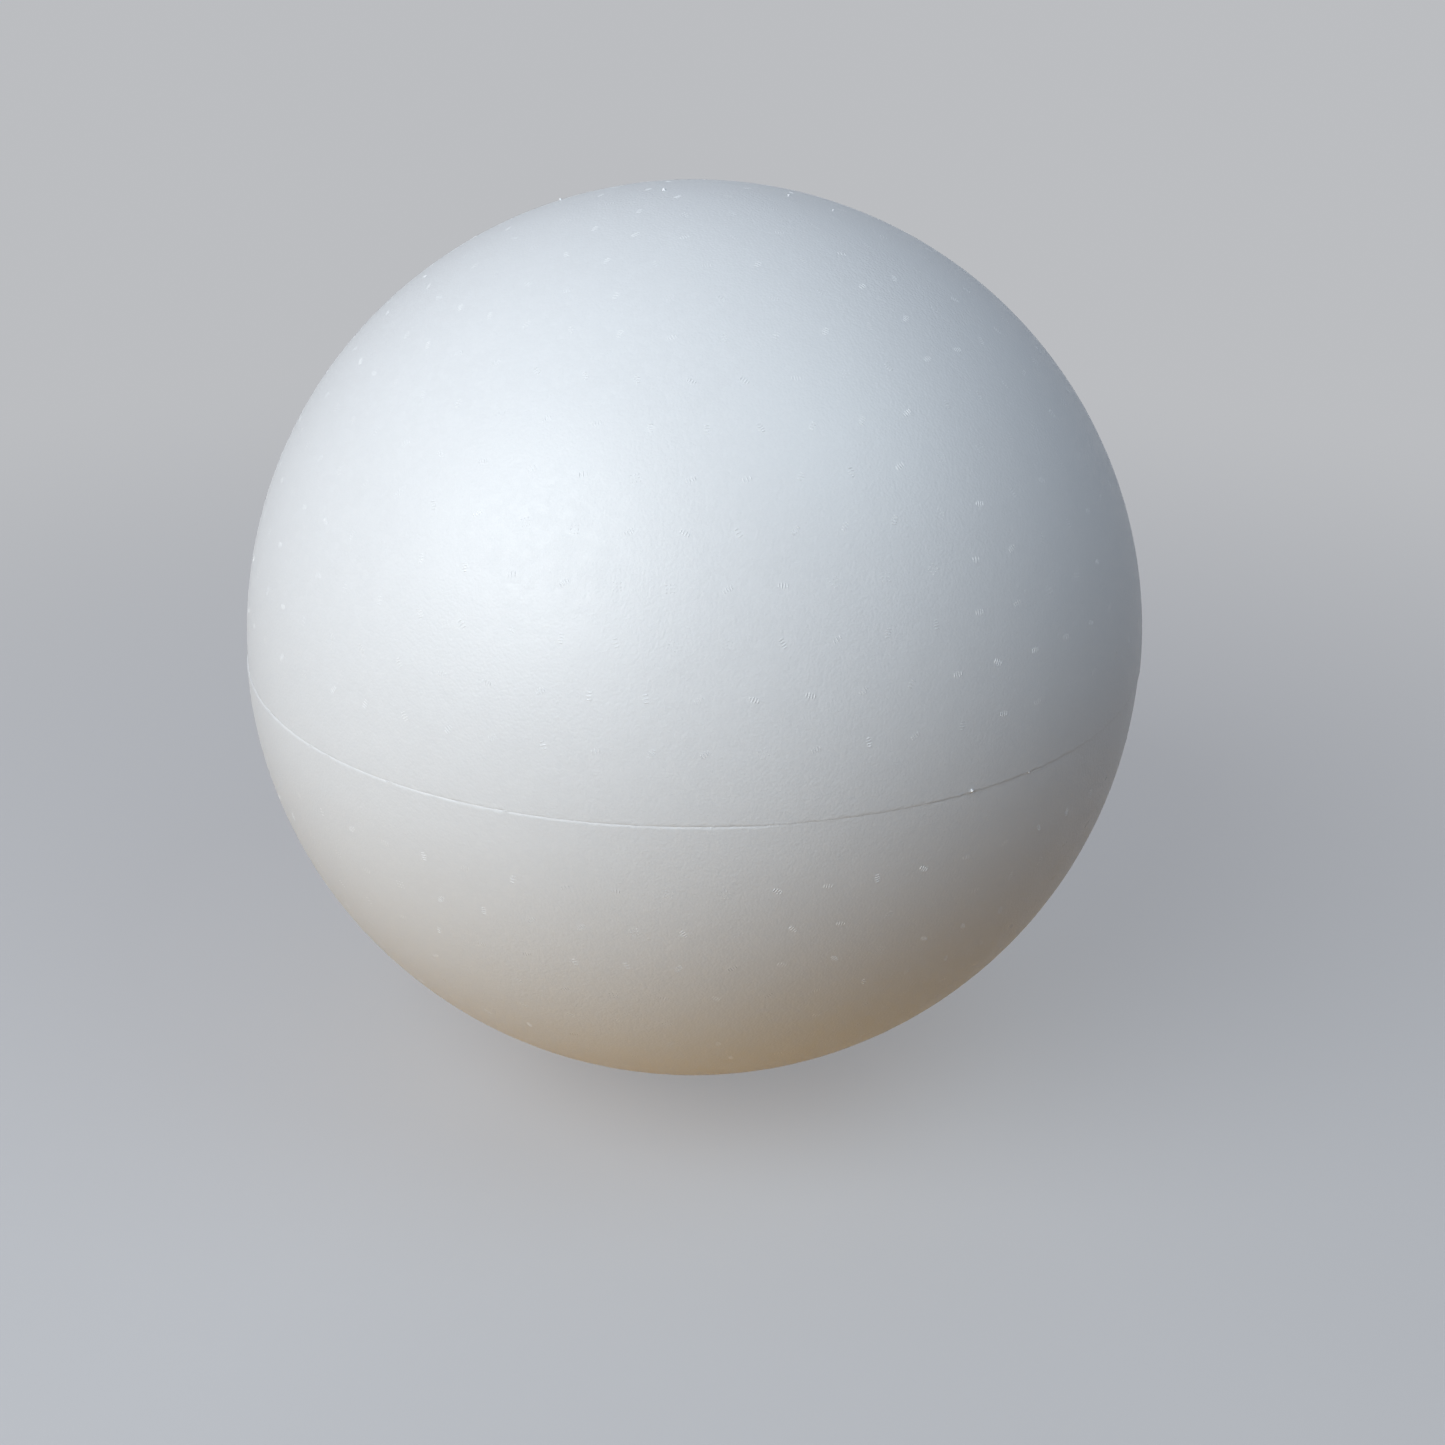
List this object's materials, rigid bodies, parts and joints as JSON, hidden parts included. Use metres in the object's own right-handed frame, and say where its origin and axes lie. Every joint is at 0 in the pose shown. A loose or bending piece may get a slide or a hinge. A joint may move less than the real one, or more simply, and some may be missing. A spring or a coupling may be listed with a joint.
{
  "type": "polystyrene ball",
  "caption": "Hollow expanded-polystyrene craft ball made as half shells that push together at a stepped rim, for covering, painting or filling.",
  "frame": {"origin": "centre of the closed ball, on the plane where the halves meet", "axes": "+Z along the axis both halves were moulded about, towards the upper half; -Y towards the side that the picture shows; +X to the right in that view, which is the way the upper half is shifted"},
  "size_m": [0.4008, 0.4, 0.4],
  "materials": {
    "foam": "satin white bead foam"
  },
  "bodies": {
    "root": {"lower_half": "foam", "upper_half": "foam"}
  },
  "joints": []
}
